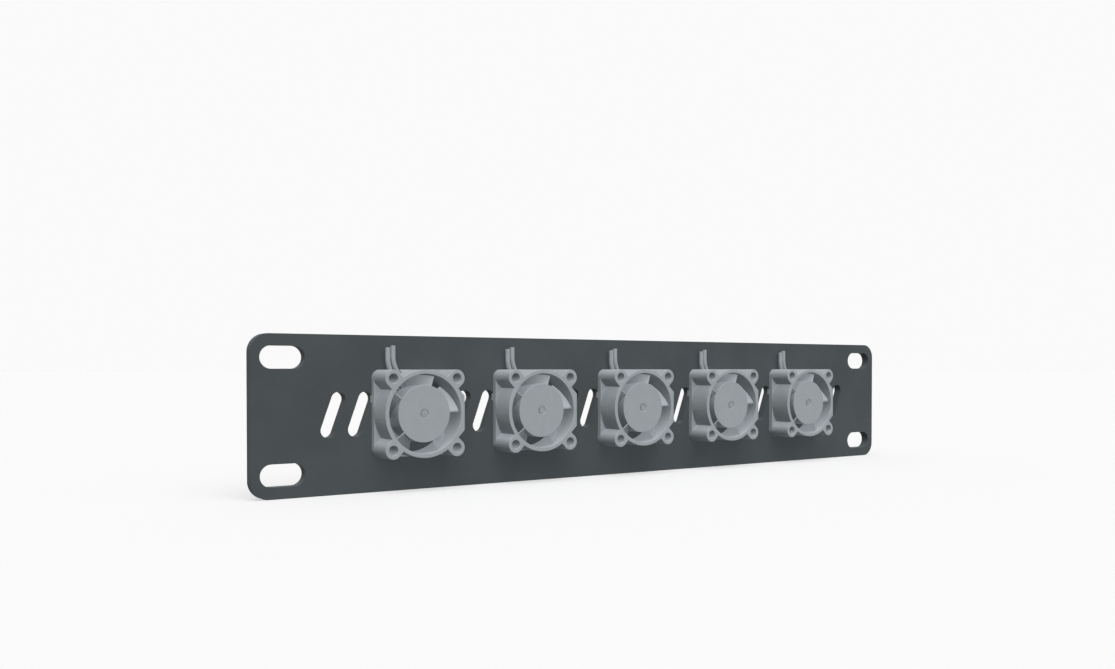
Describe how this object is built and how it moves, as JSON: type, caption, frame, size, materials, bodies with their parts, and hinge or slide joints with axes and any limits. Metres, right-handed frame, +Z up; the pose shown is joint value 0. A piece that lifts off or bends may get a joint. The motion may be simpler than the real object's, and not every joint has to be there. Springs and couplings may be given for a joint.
{
  "type": "rack mount fan panel",
  "caption": "One-unit panel for a ten-inch rack with leaning air slots and a row of small axial fans seated in shallow pockets on its front face",
  "frame": {"origin": "centre of the panel's rear face, which lies against the rack rails", "axes": "+X to the right seen from the front, +Y into the rack, +Z up; the front faces -Y"},
  "size_m": [0.254, 0.012, 0.0444],
  "materials": {
    "panel_coating": "matte",
    "fan_moulding": "matte",
    "rotor_moulding": "matte",
    "lead_sleeve": "satin",
    "screw_steel": "satin",
    "shaft_steel": "satin",
    "plated_steel": "satin",
    "lamination_steel": "matte",
    "bonded_magnet": "matte",
    "sintered_bronze": "matte",
    "clip_nylon": "satin",
    "enamelled_copper": "gloss",
    "board_laminate": "satin"
  },
  "bodies": {
    "panel_and_frames": {"panel": "panel_coating", "fan_screws": "screw_steel", "fan_1_frame": "fan_moulding", "fan_1_sleeve_bearing": "sintered_bronze", "fan_1_stator_core": "lamination_steel", "fan_1_windings": "enamelled_copper", "fan_1_circuit_board": "board_laminate", "fan_1_leads": "lead_sleeve", "fan_2_frame": "fan_moulding", "fan_2_sleeve_bearing": "sintered_bronze", "fan_2_stator_core": "lamination_steel", "fan_2_windings": "enamelled_copper", "fan_2_circuit_board": "board_laminate", "fan_2_leads": "lead_sleeve", "fan_3_frame": "fan_moulding", "fan_3_sleeve_bearing": "sintered_bronze", "fan_3_stator_core": "lamination_steel", "fan_3_windings": "enamelled_copper", "fan_3_circuit_board": "board_laminate", "fan_3_leads": "lead_sleeve", "fan_4_frame": "fan_moulding", "fan_4_sleeve_bearing": "sintered_bronze", "fan_4_stator_core": "lamination_steel", "fan_4_windings": "enamelled_copper", "fan_4_circuit_board": "board_laminate", "fan_4_leads": "lead_sleeve", "fan_5_frame": "fan_moulding", "fan_5_sleeve_bearing": "sintered_bronze", "fan_5_stator_core": "lamination_steel", "fan_5_windings": "enamelled_copper", "fan_5_circuit_board": "board_laminate", "fan_5_leads": "lead_sleeve"},
    "rotor_1": {"fan_1_impeller": "rotor_moulding", "fan_1_rotor_yoke": "plated_steel", "fan_1_rotor_magnet": "bonded_magnet", "fan_1_shaft": "shaft_steel", "fan_1_shaft_clip": "clip_nylon"},
    "rotor_2": {"fan_2_impeller": "rotor_moulding", "fan_2_rotor_yoke": "plated_steel", "fan_2_rotor_magnet": "bonded_magnet", "fan_2_shaft": "shaft_steel", "fan_2_shaft_clip": "clip_nylon"},
    "rotor_3": {"fan_3_impeller": "rotor_moulding", "fan_3_rotor_yoke": "plated_steel", "fan_3_rotor_magnet": "bonded_magnet", "fan_3_shaft": "shaft_steel", "fan_3_shaft_clip": "clip_nylon"},
    "rotor_4": {"fan_4_impeller": "rotor_moulding", "fan_4_rotor_yoke": "plated_steel", "fan_4_rotor_magnet": "bonded_magnet", "fan_4_shaft": "shaft_steel", "fan_4_shaft_clip": "clip_nylon"},
    "rotor_5": {"fan_5_impeller": "rotor_moulding", "fan_5_rotor_yoke": "plated_steel", "fan_5_rotor_magnet": "bonded_magnet", "fan_5_shaft": "shaft_steel", "fan_5_shaft_clip": "clip_nylon"}
  },
  "joints": [
    {"name": "fan_1_spin", "type": "hinge", "parent": "panel_and_frames", "child": "rotor_1", "pos_m": [-0.08, -0.007, 0], "axis": [0, 1, 0], "continuous": true},
    {"name": "fan_2_spin", "type": "hinge", "parent": "panel_and_frames", "child": "rotor_2", "pos_m": [-0.04, -0.007, 0], "axis": [0, 1, 0], "continuous": true},
    {"name": "fan_3_spin", "type": "hinge", "parent": "panel_and_frames", "child": "rotor_3", "pos_m": [0, -0.007, 0], "axis": [0, 1, 0], "continuous": true},
    {"name": "fan_4_spin", "type": "hinge", "parent": "panel_and_frames", "child": "rotor_4", "pos_m": [0.04, -0.007, 0], "axis": [0, 1, 0], "continuous": true},
    {"name": "fan_5_spin", "type": "hinge", "parent": "panel_and_frames", "child": "rotor_5", "pos_m": [0.08, -0.007, 0], "axis": [0, 1, 0], "continuous": true}
  ]
}
